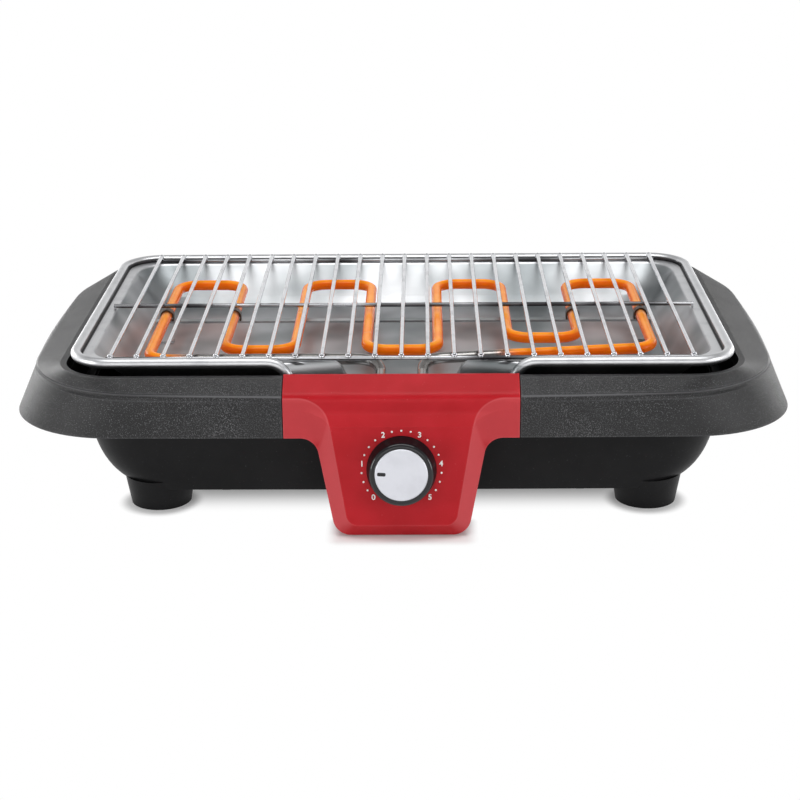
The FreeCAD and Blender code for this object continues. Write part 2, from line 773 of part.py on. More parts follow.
def control_panel():
    shell = panel_form(0).cut(panel_form(panel_wall))
    behind = block(Vector(-2 * panel_half_x, -panel_back_y, -overrun),
                   Vector(2 * panel_half_x, skirt_half_y, frame_top_z + skirt_half_x))
    out = dial_out()
    hole = Part.makeCylinder(neck_radius + running_gap, 2 * panel_wall + 2 * overrun,
                             dial_foot() - out * (panel_wall + overrun), out)
    return shell.cut([behind, hole]).removeSplitter()


def panel_slab(inset, front_y, back_y):
    """Flat plate with the panel's outline between two upright planes."""
    def place(z):
        return -front_y
    edge = panel_outline(inset, place, skirt_z, panel_foot_z, leg_top_half, leg_low_half,
                         leg_hollow, leg_corner)
    slab = Part.Face(edge).extrude(Vector(0, front_y - back_y, 0))
    lid = block(Vector(-2 * panel_half_x, -2 * front_y, panel_top_z - cover_step - inset),
                Vector(2 * panel_half_x, front_y, panel_top_z + skirt_half_x))
    return slab.cut(lid)


def cover_screw_places():
    places = []
    for z in (cover_screw_low_z, panel_top_z - cover_screw_drop):
        for side in (-1, 1):
            places.append(Vector(side * cover_screw_x, -cover_back_y, z))
    return places


def rear_cover():
    """Shallow dish that closes the control unit and passes the leads and the cable gland."""
    dish = panel_slab(0, panel_back_y, cover_back_y)
    hollow = panel_slab(cover_wall, panel_back_y + overrun, cover_back_y + cover_wall)
    along = Vector(0, 1, 0)
    length = panel_back_y - cover_back_y + 2 * overrun
    holes = [Part.makeCylinder(tube_radius + running_gap, length,
                               Vector(side * lead_x, -panel_back_y - overrun, lead_z), along)
             for side in (-1, 1)]
    gland_at = Vector(gland_x, -panel_back_y - overrun, gland_z)
    holes.append(Part.makeCylinder(gland_radius, length, gland_at, along))
    for at in cover_screw_places():
        holes.append(Part.makeCylinder(screw_radius, length, at - along * (length - overrun), along))
    return dish.cut([hollow] + holes).removeSplitter()


def cover_screws():
    screws = []
    for at in cover_screw_places():
        shank = Part.makeCylinder(screw_radius - running_gap, panel_back_y - cover_back_y, at,
                                  Vector(0, -1, 0))
        head = Part.makeCylinder(screw_head_radius, running_gap * 2, at, Vector(0, 1, 0))
        screws.append(shank.fuse(head))
    return Part.makeCompound(screws)


def cable_gland():
    """Flanged bush in the rear cover where a supply lead would come in."""
    along = Vector(0, -1, 0)
    mouth = Vector(gland_x, -cover_back_y + gland_lip, gland_z)
    bush = Part.makeCylinder(gland_radius - running_gap, gland_length, mouth, along)
    lip = Part.makeCylinder(gland_flange, gland_lip, mouth, along)
    bore = Part.makeCylinder(gland_bore, gland_length + 2 * overrun, mouth - along * overrun, along)
    return bush.fuse(lip).cut(bore)


def along_dial(shape):
    """Turns a shape drawn up the Z axis onto the dial's axis."""
    stand = FreeCAD.Placement(dial_foot(), FreeCAD.Rotation(Vector(0, 0, 1), dial_out()))
    shape.Placement = stand.multiply(shape.Placement)
    return shape


def thermostat():
    """Switch body behind the face with the neck that carries the shaft."""
    top = -panel_wall
    body = block(Vector(-thermostat_width / 2, -thermostat_height / 2, top - thermostat_depth),
                 Vector(thermostat_width / 2, thermostat_height / 2, top))
    neck = Part.makeCylinder(neck_radius, panel_wall, Vector(0, 0, top))
    bore = Part.makeCylinder(shaft_radius + running_gap, shaft_tail + 2 * overrun, Vector(0, 0, -shaft_tail))
    return along_dial(body.fuse(neck).cut(bore))


def dial_shaft():
    length = shaft_tail + knob_gap + knob_socket
    return along_dial(Part.makeCylinder(shaft_radius, length, Vector(0, 0, -shaft_tail)))


def dial_knob():
    """Turned knob with a rounded nose and a recess for the cap."""
    low = knob_gap
    high = knob_gap + knob_height
    profile = Part.makePolygon([Vector(0, 0, low), Vector(knob_radius, 0, low),
                                Vector(knob_nose_radius, 0, high), Vector(0, 0, high), Vector(0, 0, low)])
    body = Part.Face(profile).revolve(Vector(0, 0, 0), Vector(0, 0, 1), math.degrees(2 * math.pi))
    nose = [e for e in body.Edges if e.Closed and abs(e.BoundBox.ZMin - high) < running_gap]
    body = body.makeFillet(knob_round, nose)
    recess = Part.makeCylinder(cap_radius, cap_thickness + overrun, Vector(0, 0, high - cap_thickness))
    socket = Part.makeCylinder(shaft_radius, knob_socket, Vector(0, 0, low))
    return along_dial(body.cut([recess, socket]))


def pointer_bar(height):
    """Small round-ended bar from the rim of the cap towards its centre."""
    reach = cap_radius - pointer_inset
    half = pointer_width / 2
    base = knob_gap + knob_height - cap_thickness
    corners = [Vector(reach, -half, base), Vector(reach, half, base),
               Vector(reach - pointer_length, half, base), Vector(reach - pointer_length, -half, base)]
    bar = prism(rounded(corners, [pointer_width / 3] * len(corners)), height)
    bar.rotate(Vector(0, 0, 0), Vector(0, 0, 1), pointer_turn)
    return bar


def dial_cap():
    """Disc with a bevelled edge in the nose of the knob, pierced for the pointer."""
    base = knob_gap + knob_height - cap_thickness
    radius = cap_radius - running_gap
    disc = Part.makeCylinder(radius, cap_thickness, Vector(0, 0, base))
    bevel = Part.makeCone(radius, radius - cap_crown, cap_crown, Vector(0, 0, base + cap_thickness))
    return along_dial(disc.fuse(bevel).cut(pointer_bar(cap_thickness + overrun)).removeSplitter())


def dial_pointer():
    return along_dial(pointer_bar(cap_thickness + cap_crown))


def terminal_block():
    """Ceramic block on the rear cover that takes the ends of the leads' wiring."""
    back = -cover_back_y - cover_wall
    return block(Vector(-block_half_x, back - block_depth, block_z),
                 Vector(block_half_x, back, block_z + block_height))


def pieces():
    """Every piece by name, in the frame of the tray."""
    made = {"upper_frame": upper_frame(), "lower_tub": lower_tub()}
    names = ("front_left", "front_right", "rear_left", "rear_right")
    for name, at in zip(names, corner_places(foot_x, foot_y)):
        made["foot_" + name] = foot(at)
    made["foot_pads"] = foot_pads()
    made["base_screws"] = base_screws()
    made["drip_tray"] = drip_tray()
    made["heating_element"] = heating_element()
    made["element_terminals"] = element_terminals()
    made["element_bar"] = element_bar()
    made["element_clips"] = element_clips()
    made["grate_rods"] = grate_rods()
    made["grate_wires"] = grate_wires()
    made["control_panel"] = control_panel()
    made["rear_cover"] = rear_cover()
    made["cover_screws"] = cover_screws()
    made["cable_gland"] = cable_gland()
    made["thermostat"] = thermostat()
    made["terminal_block"] = terminal_block()
    made["dial_shaft"] = dial_shaft()
    made["dial_knob"] = dial_knob()
    made["dial_cap"] = dial_cap()
    made["dial_pointer"] = dial_pointer()
    return made


def main():
    made = pieces()
    front = made["dial_knob"].optimalBoundingBox(False).YMin
    back = made["upper_frame"].optimalBoundingBox(False).YMax
    to_middle = Vector(0, -(front + back) / 2, 0)
    os.makedirs("parts", exist_ok=True)
    for name, shape in made.items():
        shape.translate(to_middle)
        shape.exportStep(os.path.join("parts", name + ".step"))
    print("moved to the middle by", round(to_middle.y, 4))


main()
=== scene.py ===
import json
import math
from collections import namedtuple

import bpy
import numpy as np
from mathutils import Matrix, Vector


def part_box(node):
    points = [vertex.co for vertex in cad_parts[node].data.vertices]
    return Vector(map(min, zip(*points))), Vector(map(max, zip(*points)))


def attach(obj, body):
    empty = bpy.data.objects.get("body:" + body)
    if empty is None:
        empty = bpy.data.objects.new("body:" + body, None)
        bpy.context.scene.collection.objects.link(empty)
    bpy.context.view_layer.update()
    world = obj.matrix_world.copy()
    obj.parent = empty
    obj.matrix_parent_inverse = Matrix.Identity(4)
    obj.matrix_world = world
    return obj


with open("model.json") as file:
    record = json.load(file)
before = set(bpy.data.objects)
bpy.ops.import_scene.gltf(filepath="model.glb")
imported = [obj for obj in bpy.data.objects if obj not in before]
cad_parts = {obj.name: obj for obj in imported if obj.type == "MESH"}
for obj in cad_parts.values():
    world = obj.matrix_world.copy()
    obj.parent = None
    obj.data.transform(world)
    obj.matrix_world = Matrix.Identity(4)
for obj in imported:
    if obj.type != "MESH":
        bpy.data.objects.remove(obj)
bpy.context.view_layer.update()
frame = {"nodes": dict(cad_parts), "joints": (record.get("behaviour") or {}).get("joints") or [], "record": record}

# Electric grill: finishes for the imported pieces, and the small pieces that the solids leave out.
# Metres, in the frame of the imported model: +Z up, the control panel faces -Y.
# Colours are written as seen on screen, 0 to 255.

ORIGIN = (0.0, 0.0, 0.0)

# Camera, set by the photograph's rim, feet and panel: angles in degrees, lens and sensor in millimetres
CAMERA_PLACE = (0.0146, -1.2278, 0.4783)
CAMERA_PITCH = 19.636
CAMERA_YAW = -0.81
CAMERA_ROLL = -0.511
CAMERA_LENS = 81.0
CAMERA_SENSOR = 36.0
CAMERA_NEAR = 0.05
CAMERA_FAR = 60.0

# Lamps: name, place, point looked at, width, height, watts
LAMPS = (
    ("lamp_top", (0.0, -0.45, 1.7), (0.0, 0.0, 0.0), 1.8, 0.8, 16.0),
    ("lamp_left", (-1.4, -0.7, 0.3), (0.0, -0.1, 0.06), 0.6, 0.5, 6.0),
    ("lamp_right", (1.4, -0.7, 0.3), (0.0, -0.1, 0.06), 0.6, 0.5, 6.0),
    ("lamp_rim_left", (-1.1, 0.9, 0.25), (-0.2, 0.0, 0.06), 0.6, 0.4, 5.0),
    ("lamp_rim_right", (1.1, 0.9, 0.25), (0.2, 0.0, 0.06), 0.6, 0.4, 3.0),
    ("lamp_front", (0.0, -2.2, 0.45), (0.0, 0.0, 0.05), 1.8, 0.6, 6.0),
)

# Surround: its light on dull surfaces, and what mirrors see of it behind the camera and overhead
WORLD_FILL = 0.35
CAMERA_SIDE = 0.5
CEILING = 0.4
CAMERA_TURN = (-0.25, -0.85)   # directions between which the surround dims towards the camera
CEILING_TURN = (0.2, 0.7)      # and towards the ceiling

# Floor, and the painted shadows on it, soft dark rims where the real shadow shows too: share of the tub's size, widths
# of the rims, white left under each piece
FLOOR_HALF = 6.0
FLOOR_TONE = 0.9
TUB_SHADE_SHARE = 0.55
TUB_SHADE_RIM = 0.045
TUB_SHADE_WHITE = 0.25
FOOT_RADIUS = 0.0203
FOOT_SHADE_RIM = 0.01
FOOT_SHADE_WHITE = 0.3
PANEL_FOOT_HALF = 0.04
PANEL_SHADE_RIM = 0.011
PANEL_SHADE_WHITE = 0.1

# Dial scale, printed on the face of the panel: first and last number in degrees, thickness of the ink
SCALE_RADIUS = 0.0258
SCALE_FIRST = 225.0
SCALE_LAST = -45.0
SCALE_NUMBERS = 6
DOTS_BETWEEN = 3
NUMBER_HEIGHT = 0.005
INK = 0.00012
DOT_RADIUS = 0.00066
DOT_SIDES = 20
DOT_PROFILE = ((1.0, -0.5), (1.0, 1.2), (0.86, 2.0), (0.0, 2.0))  # in dot radii, in thicknesses of ink

# Grate
ROD_RADIUS = 0.0015
ROD_COUNT = 23
WIRE_COUNT = 3
NUGGET_HALF = (0.0021, 0.0021, 0.0012)
NUGGET_SIDES = 12
NUGGET_RINGS = 7
ROD_END_SIDES = 14
ROD_END_PROFILE = ((0.98, -0.0026), (1.22, -0.0014), (1.3, 0.0), (1.16, 0.0009),
                   (0.8, 0.0011), (0.6, 0.0004), (0.0, 0.0003))  # in rod radii, out of the end

# Frame: crease below its top edge, with a painted highlight line along it; grain from coarse beside the panel to fine
# on the wings
CREASE_DROP = 0.009
CREASE_HIGHLIGHT_WIDTH = 0.0011
COARSE_TO = 0.1
FINE_FROM = 0.2
COARSE_LEVEL = 0.55
FINE_LEVEL = 0.62

# Panel: painted sheen on its flanks and shoulders and a painted highlight on the ridge over the shoulders, as shares
# of the paler colour
FLANK_SHEEN = 0.4
SHOULDER_SHEEN = 0.26
RIDGE_HIGHLIGHT = 0.3
RIDGE_HIGHLIGHT_WIDTH = 0.0009
SHOULDER_X = 0.0455
SHOULDER_ROUND = 0.021
SHOULDER_HALF = (0.05, 0.0, 0.2)
SHOULDER_FADE = (0.037, 0.027)  # below the crease, where the shoulders run out into the flanks
WEAR_AND_HIGHLIGHT_FADE = (0.02, 0.01)        # below the crease, where the edges' wear and painted highlight grow faint
# paler edges of the panel, part wear and part painted highlight, on the flanks and on the brow
FLANK_WEAR_AND_HIGHLIGHT = 0.3
BROW_WEAR_AND_HIGHLIGHT = 0.05

# Knob: weight of the gloss on its nose
NOSE_GLOSS = 0.8

# Drip tray: corner of the rolled rim, its foot in from the outer edge, and where the bright rim turns to the painted
# shade of the wall
RIM_CORNER = 0.0305
RIM_ROLL = 0.0074
RIM_BRIGHT = 0.0046
RIM_SHADED = 0.0058
# Painted shade line in the fold inside the rolled rim: depth below the rim down to which it reaches, its half width,
# its fade
FOLD_SHADE_LOW = 0.006
FOLD_SHADE_HALF = 0.0011
FOLD_SHADE_FADE = 0.001

# Rods: painted shade on the cross wires and the rods' undersides up to this height, none from this one
ROD_SHADED = 0.0002
ROD_BRIGHT = 0.001

# Element: its leads stay cold this far from their ends, and between these places across
COLD_TAIL = 0.05
COLD_FROM = -0.14
COLD_TO = 0.06
COLD_FADE = 0.02
COLD_TAIL_FADE = 0.006
SADDLE_REACH = (0.012, 0.003)  # along the legs, from clean to browned
OUTER_LEGS = (0.09, 0.11)      # across from the middle, from clean to browned
TUBE_SIDE = ((222, 88, 0), (234, 108, 2))
TUBE_TOP_HIGHLIGHT = ((248, 138, 16), (255, 160, 40))
TUBE_BROWN = (112, 56, 28)
TUBE_COLD = (150, 148, 146)
TUBE_UNLIT = (8, 2, 0)

Shade = namedtuple("Shade", "colour low high")
FoldShade = namedtuple("FoldShade", "middle half distance colour low")


def linear(red, green, blue):
    """Colour as seen on screen, 0 to 255, as the linear values that a shader takes."""
    share = np.array([red, green, blue]) / 255
    low = share / 12.92
    high = ((share + 0.055) / 1.055) ** 2.4
    return tuple(np.where(share <= 0.04045, low, high).tolist()) + (1.0,)


def flat(corner_low, corner_high, share=1.0, trim=0.0):
    """Middle of a box on the floor, and its half sizes there: a share of them, or trimmed all round."""
    middle = (corner_low + corner_high) / 2
    half = (corner_high - corner_low) / 2
    return (middle.x, middle.y, 0.0), (half.x * share - trim, half.y * share - trim, 0.0)


def crease_height():
    """Height of the crease that runs round the frame and on over the panel's shoulders."""
    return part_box("upper_frame")[1].z - CREASE_DROP


# Shader groups


class Tree:
    """Short hand for adding and joining the nodes of one shader tree."""

    def __init__(self, tree):
        self.tree = tree

    def node(self, kind, **settings):
        """New node with its settings."""
        made = self.tree.nodes.new("ShaderNode" + kind)
        for name, value in settings.items():
            setattr(made, name, value)
        return made

    def join(self, source, target):
        """Link from an output to an input."""
        self.tree.links.new(source, target)

    def feed(self, socket, value):
        """Joins an output to a socket, or sets a plain value on it."""
        if isinstance(value, bpy.types.NodeSocket):
            self.join(value, socket)
        else:
            socket.default_value = value

    def math(self, operation, first, second=0.0, clamp=False):
        """One sum on two values."""
        made = self.node("Math", operation=operation, use_clamp=clamp)
        self.feed(made.inputs[0], first)
        self.feed(made.inputs[1], second)
        return made.outputs[0]

    def size_of(self, value):
        """The value without its sign."""
        return self.math("ABSOLUTE", value)

    def off(self, value, middle):
        """How far the value lies from a middle, either way."""
        return self.size_of(self.math("SUBTRACT", value, middle))

    def scaled(self, vector, factor):
        """The vector times one factor."""
        made = self.node("VectorMath", operation="SCALE")
        self.feed(made.inputs[0], vector)
        self.feed(made.inputs["Scale"], factor)
        return made.outputs[0]

    def stretched(self, vector, factors):
        """The vector times a factor for each axis."""
        made = self.node("VectorMath", operation="MULTIPLY")
        self.feed(made.inputs[0], vector)
        self.feed(made.inputs[1], factors)
        return made.outputs[0]

    def noise(self, vector, scale, detail=2.0, roughness=0.5):
        """Smooth noise between 0 and 1."""
        made = self.node("TexNoise")
        self.feed(made.inputs["Vector"], vector)
        self.feed(made.inputs["Scale"], scale)
        self.feed(made.inputs["Detail"], detail)
        self.feed(made.inputs["Roughness"], roughness)
        return made.outputs["Fac"]

    def cells(self, vector, scale):
        """Distance to the nearest of scattered points."""
        made = self.node("TexVoronoi")
        self.feed(made.inputs["Vector"], vector)
        self.feed(made.inputs["Scale"], scale)
        return made.outputs["Distance"]

    def remap(self, value, low, high, to_low=0.0, to_high=1.0):
        """Smooth step from to_low at low to to_high at high."""
        made = self.node("MapRange", interpolation_type="SMOOTHSTEP")
        for socket, number in zip(made.inputs[:5], (value, low, high, to_low, to_high)):
            self.feed(socket, number)
        return made.outputs[0]

    def past_box(self, place, middle, corner, half):
        """Distance past a box; the place is folded about the middle, so that one corner stands for all four."""
        steps = (("SUBTRACT", middle), ("ABSOLUTE", None), ("SUBTRACT", corner), ("ABSOLUTE", None),
                 ("SUBTRACT", half), ("MAXIMUM", ORIGIN))
        vector = place
        for operation, other in steps:
            made = self.node("VectorMath", operation=operation)
            self.join(vector, made.inputs[0])
            if other:
                made.inputs[1].default_value = other
            vector = made.outputs[0]
        length = self.node("VectorMath", operation="LENGTH")
        self.join(vector, length.inputs[0])
        return length.outputs["Value"]

    def mix(self, share, first, second):
        """Colour between two, by the share of the second."""
        made = self.node("Mix", data_type="RGBA")
        self.feed(made.inputs[0], share)
        self.feed(made.inputs[6], first)
        self.feed(made.inputs[7], second)
        return made.outputs[2]


def new_group(name, inputs, outputs):
    """Empty shader group with its sockets: inputs are (name, kind, plain value), outputs are names of values."""
    group = bpy.data.node_groups.new(name, "ShaderNodeTree")
    for label, kind, value in inputs:
        socket = group.interface.new_socket(name=label, in_out="INPUT", socket_type="NodeSocket" + kind)
        if value is not None:
            socket.default_value = value
    for label in outputs:
        group.interface.new_socket(name=label, in_out="OUTPUT", socket_type="NodeSocketFloat")
    entry = group.nodes.new("NodeGroupInput").outputs
    result = group.nodes.new("NodeGroupOutput").inputs
    return Tree(group), entry, result


def moulded_grain():
    """Spark-eroded grain of moulded plastic: cells and fine noise give the height, their peaks the light specks."""
    inputs = [("Position", "Vector", None), ("Grain Size", "Float", 0.001), ("Speck Level", "Float", 0.64)]
    tree, entry, result = new_group("moulded_grain", inputs, ["Height", "Speck", "Tone"])
    place = tree.scaled(entry["Position"], tree.math("DIVIDE", 1.0, entry["Grain Size"]))
    pits = tree.cells(place, scale=1.0)
    fine = tree.noise(place, scale=0.8, detail=3.0, roughness=0.6)
    tree.join(tree.math("ADD", tree.math("MULTIPLY", pits, 0.55), fine), result["Height"])
    peaks = tree.noise(place, scale=0.55, detail=1.0, roughness=0.4)
    above = tree.math("SUBTRACT", peaks, entry["Speck Level"])
    patches = tree.remap(tree.noise(place, scale=0.006), low=0.36, high=0.56, to_low=0.6)
    tree.join(tree.math("MULTIPLY", tree.math("MULTIPLY", above, 9.0, clamp=True), patches), result["Speck"])
    tree.join(tree.noise(place, scale=0.016, detail=3.0, roughness=0.55), result["Tone"])
    return tree.tree


def edge_wear():
    """Share of paler sharp edges, wear that on the frame and panel also stands for a painted highlight along the
    edges: how far the rounded normal turns from the true one, broken up by noise.
    """
    inputs = [("Position", "Vector", None), ("Reach", "Float", 0.001), ("Strength", "Float", 1.0),
              ("Turn", "Float", 0.93), ("Evenness", "Float", 0.35)]
    tree, entry, result = new_group("edge_wear", inputs, ["Wear"])
    rounded = tree.node("Bevel", samples=6)
    tree.feed(rounded.inputs["Radius"], entry["Reach"])
    turn = tree.node("VectorMath", operation="DOT_PRODUCT")
    tree.join(rounded.outputs[0], turn.inputs[0])
    tree.join(tree.node("NewGeometry").outputs["Normal"], turn.inputs[1])
    edge = tree.remap(turn.outputs["Value"], low=0.9995, high=entry["Turn"])
    uneven = tree.remap(tree.noise(entry["Position"], scale=260.0, detail=4.0, roughness=0.65), low=0.35, high=0.7)
    patches = tree.math("MAXIMUM", uneven, entry["Evenness"])
    worn = tree.math("MULTIPLY", tree.math("MULTIPLY", edge, patches), entry["Strength"], clamp=True)
    tree.join(worn, result["Wear"])
    return tree.tree


def handling():
    """Roughness that drifts with wiping marks and faint prints, spread about a middle value."""
    inputs = [("Position", "Vector", None), ("Middle", "Float", 0.4), ("Spread", "Float", 0.1)]
    tree, entry, result = new_group("handling", inputs, ["Roughness"])
    wiped = tree.stretched(entry["Position"], (30.0, 30.0, 90.0))
    wipes = tree.noise(wiped, scale=1.0, detail=3.0, roughness=0.6)
    prints = tree.noise(entry["Position"], scale=140.0)
    drift = tree.math("ADD", tree.math("MULTIPLY", wipes, 1.4), tree.math("MULTIPLY", prints, 0.6))
    spread = tree.math("MULTIPLY", tree.math("SUBTRACT", drift, 1.0), entry["Spread"])
    tree.join(tree.math("ADD", spread, entry["Middle"], clamp=True), result["Roughness"])
    return tree.tree


def drawn_metal():
    """Fine lines of rolled or drawn metal: noise stretched along one direction, with dull spots."""
    inputs = [("Position", "Vector", None), ("Lines", "Vector", (600.0, 20.0, 600.0))]
    tree, entry, result = new_group("drawn_metal", inputs, ["Height", "Dull"])
    along = tree.stretched(entry["Position"], entry["Lines"])
    tree.join(tree.noise(along, scale=1.0, detail=4.0, roughness=0.7), result["Height"])
    spots = tree.noise(entry["Position"], scale=55.0, detail=5.0, roughness=0.6)
    tree.join(tree.remap(spots, low=0.45, high=0.75), result["Dull"])
    return tree.tree


GROUPS = {make.__name__: make() for make in (moulded_grain, edge_wear, handling, drawn_metal)}

# Finishes, by the names of the record's slots

FINISHES = {}


class Finish(Tree):
    """One material: a Principled shader, Object coordinates and the shared groups."""

    def __init__(self, name, **plain):
        material = bpy.data.materials.new(name)
        material.use_nodes = True
        super().__init__(material.node_tree)
        self.shader = self.tree.nodes["Principled BSDF"]
        self.place = self.node("TexCoord").outputs["Object"]
        for socket, value in plain.items():
            self.shader.inputs[socket.replace("_", " ")].default_value = value
        FINISHES[name] = material

    def group(self, name, **values):
        """One of the shared groups, with its own values; gives its outputs."""
        made = self.tree.nodes.new("ShaderNodeGroup")
        made.node_tree = GROUPS[name]
        self.join(self.place, made.inputs["Position"])
        for socket, value in values.items():
            self.feed(made.inputs[socket.replace("_", " ")], value)
        return made.outputs

    def part_of(self, vector, name):
        """One coordinate of a vector."""
        axes = self.node("SeparateXYZ")
        self.join(vector, axes.inputs[0])
        return axes.outputs[name]

    def axis(self, name):
        """One coordinate of the place on the piece."""
        return self.part_of(self.place, name)

    def facing(self, name):
        """How far the surface faces along one axis, from -1 to 1."""
        return self.part_of(self.node("NewGeometry").outputs["Normal"], name)

    def given(self, value):
        """A number as it is, or what a function makes of this finish."""
        return value(self) if callable(value) else value

    def give(self, **sources):
        """Joins outputs to the shader's sockets, by name."""
        for socket, source in sources.items():
            self.join(source, self.shader.inputs[socket.replace("_", " ")])

    def handled(self, rough, spread):
        """Roughness with wiping marks."""
        self.give(Roughness=self.group("handling", Middle=rough, Spread=spread)["Roughness"])

    def bump(self, height, distance):
        """Relief of the surface from a height."""
        made = self.node("Bump")
        made.inputs["Distance"].default_value = distance
        made.inputs["Strength"].default_value = 1.0
        self.join(height, made.inputs["Height"])
        self.join(made.outputs[0], self.shader.inputs["Normal"])


def plastic(name, dark, light, speck, grain, depth, rough, spread, wear, reach=0.0009, level=0.64, coat=0.0,
            shine=0.3, turn=0.93, even=0.0, painted_sheen=None):
    """Moulded plastic: tone drift between two colours, light specks on the grain and paler edges, which are wear and
    on the frame and panel also a painted highlight.

    wear, level and coat are numbers, or functions of the finish like painted_sheen, which gives the share of the speck
    colour painted on as sheen or highlight.
    """
    finish = Finish(name, Specular_IOR_Level=shine, Coat_Roughness=0.12)
    speck = linear(*speck)
    finish.feed(finish.shader.inputs["Coat Weight"], finish.given(coat))
    texture = finish.group("moulded_grain", Grain_Size=grain, Speck_Level=finish.given(level))
    drift = finish.remap(texture["Tone"], low=0.3, high=0.7)
    tone = finish.mix(texture["Speck"], finish.mix(drift, linear(*dark), linear(*light)), speck)
    # painted sheen or highlight: speck colour mixed in by the given share
    if painted_sheen:
        tone = finish.mix(painted_sheen(finish), tone, speck)
    worn = finish.group("edge_wear", Reach=reach, Strength=finish.given(wear), Turn=turn, Evenness=even)
    finish.give(Base_Color=finish.mix(worn["Wear"], tone, speck))
    finish.handled(rough, spread)
    finish.bump(texture["Height"], depth)


def metal(name, bright, dull, lines, rough, spread, depth, wear=0.0, shade=None, fold_shade=None):
    """Bare metal: drawn lines in the height, dull spots in the colour, wiping marks in the roughness."""
    finish = Finish(name, Metallic=1.0)
    bright = linear(*bright)
    drawn = finish.group("drawn_metal", Lines=lines)
    colour = finish.mix(drawn["Dull"], bright, linear(*dull))
    if shade:
        colour = shaded(finish, colour, bright, shade)
    if fold_shade:
        colour = grooved(finish, colour, fold_shade)
    if wear:
        worn = finish.group("edge_wear", Reach=0.0008, Strength=wear)
        colour = finish.mix(worn["Wear"], colour, bright)
    finish.give(Base_Color=colour)
    finish.handled(rough, spread)
    finish.bump(drawn["Height"], depth)


def shaded(finish, colour, bright, shade):
    """Painted shade: metal that falls to a cloudy darker tone, from the height high down to low."""
    tone = linear(*shade.colour)
    clouds = finish.remap(finish.noise(finish.place, scale=15.0), low=0.3, high=0.66)
    deep = finish.mix(clouds, tone, finish.mix(0.75, tone, bright))
    return finish.mix(finish.remap(finish.axis("Z"), shade.low, shade.high), deep, colour)


def grooved(finish, colour, fold_shade):
    """Painted shade: a dark line at a distance round a box in plan, on what lies above a height."""
    level = finish.stretched(finish.place, (1.0, 1.0, 0.0))
    past = finish.past_box(level, fold_shade.middle, ORIGIN, fold_shade.half)
    line = finish.remap(finish.off(past, fold_shade.distance), FOLD_SHADE_HALF, FOLD_SHADE_HALF / 2)
    above = finish.remap(finish.axis("Z"), fold_shade.low - FOLD_SHADE_FADE, fold_shade.low)
    return finish.mix(finish.math("MULTIPLY", line, above), colour, linear(*fold_shade.colour))


def glowing_tube():
    """Element tube at red heat: a painted highlight along its top, browned where a saddle draws heat off, grey where
    it stays cold.
    """
    finish = Finish("hot_tube", Specular_IOR_Level=0.2, Emission_Strength=0.2)
    drift = finish.remap(finish.noise(finish.place, scale=38.0, detail=3.0, roughness=0.6), low=0.3, high=0.7)
    side, top = (finish.mix(drift, linear(*dark), linear(*light)) for dark, light in (TUBE_SIDE, TUBE_TOP_HIGHLIGHT))
    # painted highlight: the lighter colour where the tube faces up, in its glow too
    colour = finish.mix(finish.remap(finish.facing("Z"), low=0.45, high=0.98), side, top)
    patch = saddle_share(finish)
    colour = finish.mix(patch, colour, linear(*TUBE_BROWN))
    cold = cold_share(finish)
    finish.give(Base_Color=finish.mix(cold, colour, linear(*TUBE_COLD)), Metallic=cold)
    finish.give(Emission_Color=finish.mix(finish.math("MAXIMUM", patch, cold), colour, linear(*TUBE_UNLIT)))
    finish.handled(rough=0.24, spread=0.1)
    finish.bump(finish.group("moulded_grain", Grain_Size=0.0012)["Height"], 0.00004)


def saddle_share(finish):
    """Browned patches of the tube near the saddles of the outer legs, broken up by noise."""
    low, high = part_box("element_clips")
    along = finish.off(finish.axis("Y"), (low.y + high.y) / 2)
    across = finish.size_of(finish.axis("X"))
    near = finish.math("MULTIPLY", finish.remap(along, *SADDLE_REACH), finish.remap(across, *OUTER_LEGS))
    broken = finish.remap(finish.noise(finish.place, scale=240.0, detail=3.0), low=0.25, high=0.6)
    return finish.math("MULTIPLY", near, broken)


def cold_share(finish):
    """Ends of the tube that stay cold: in front of a line, and between two places across."""
    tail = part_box("heating_element")[0].y + COLD_TAIL
    cold = finish.remap(finish.axis("Y"), tail, tail - COLD_TAIL_FADE)
    cold = finish.math("MULTIPLY", cold, finish.remap(finish.axis("X"), COLD_FROM - COLD_FADE, COLD_FROM))
    return finish.math("MULTIPLY", cold, finish.remap(finish.axis("X"), COLD_TO + COLD_FADE, COLD_TO))


def crease_share(finish):
    """Painted highlight along the crease of the frame, a band of heights."""
    return finish.remap(finish.off(finish.axis("Z"), crease_height()), CREASE_HIGHLIGHT_WIDTH, 0.0)


def frame_specks(finish):
    """Level that the grain's peaks pass to be specks: lower beside the panel, where the grain is coarse."""
    return finish.remap(finish.size_of(finish.axis("X")), COARSE_TO, FINE_FROM, COARSE_LEVEL, FINE_LEVEL)


def nose_share(finish):
    """Gloss of the knob's nose, which faces the front; its side stays dull."""
    return finish.remap(finish.facing("Y"), low=-0.3, high=-0.7, to_high=NOSE_GLOSS)


